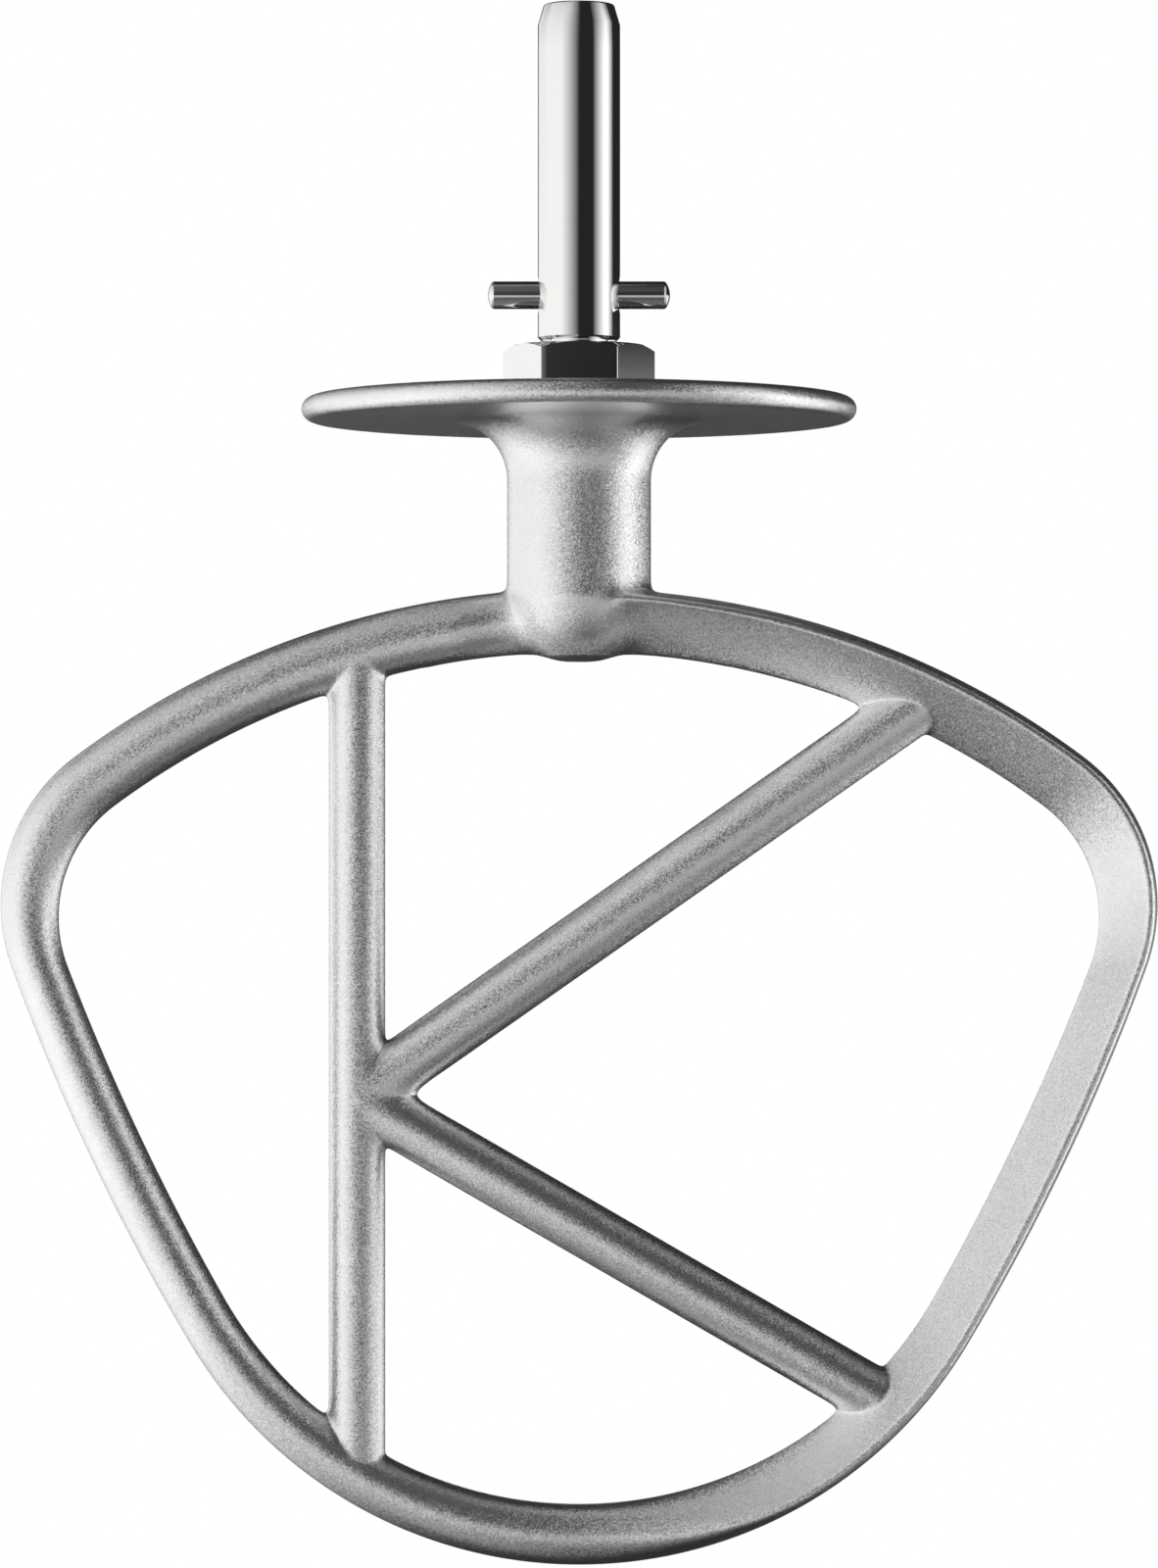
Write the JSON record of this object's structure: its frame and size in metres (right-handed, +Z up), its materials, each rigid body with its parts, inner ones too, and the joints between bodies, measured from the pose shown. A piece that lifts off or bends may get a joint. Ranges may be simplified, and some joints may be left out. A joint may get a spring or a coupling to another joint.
{
  "type": "stand mixer flat beater",
  "caption": "Flat beater for a stand mixer: a cast loop with bracing bars, hub and splash disc, on a drive shaft with a cross pin and a lock nut that sets its height.",
  "frame": {"origin": "on the drive shaft's axis, at the axis of the cross pin", "axes": "+Z up the shaft to its free end, +X along the cross pin to the braced side of the loop, -Y to the front"},
  "size_m": [0.1334, 0.064, 0.1798],
  "materials": {
    "cast_metal": "bead-blasted, satin",
    "bright_steel": "polished"
  },
  "bodies": {
    "shaft": {"drive_shaft": "bright_steel", "drive_pin": "bright_steel"},
    "nut": {"lock_nut": "bright_steel"},
    "beater": {"beater_casting": "cast_metal"}
  },
  "joints": [
    {"name": "thread_travel", "type": "slide", "parent": "shaft", "child": "nut", "axis": [0, 0, -1], "range_m": [0, 0.00375]},
    {"name": "beater_turn", "type": "hinge", "parent": "nut", "child": "beater", "pos_m": [0, 0, -0.012], "axis": [0, 0, -1], "range_deg": [0, 1080]}
  ],
  "couplings": [
    {"joint": "thread_travel", "follows": "beater_turn", "m_per_rad": 0.00019894}
  ]
}
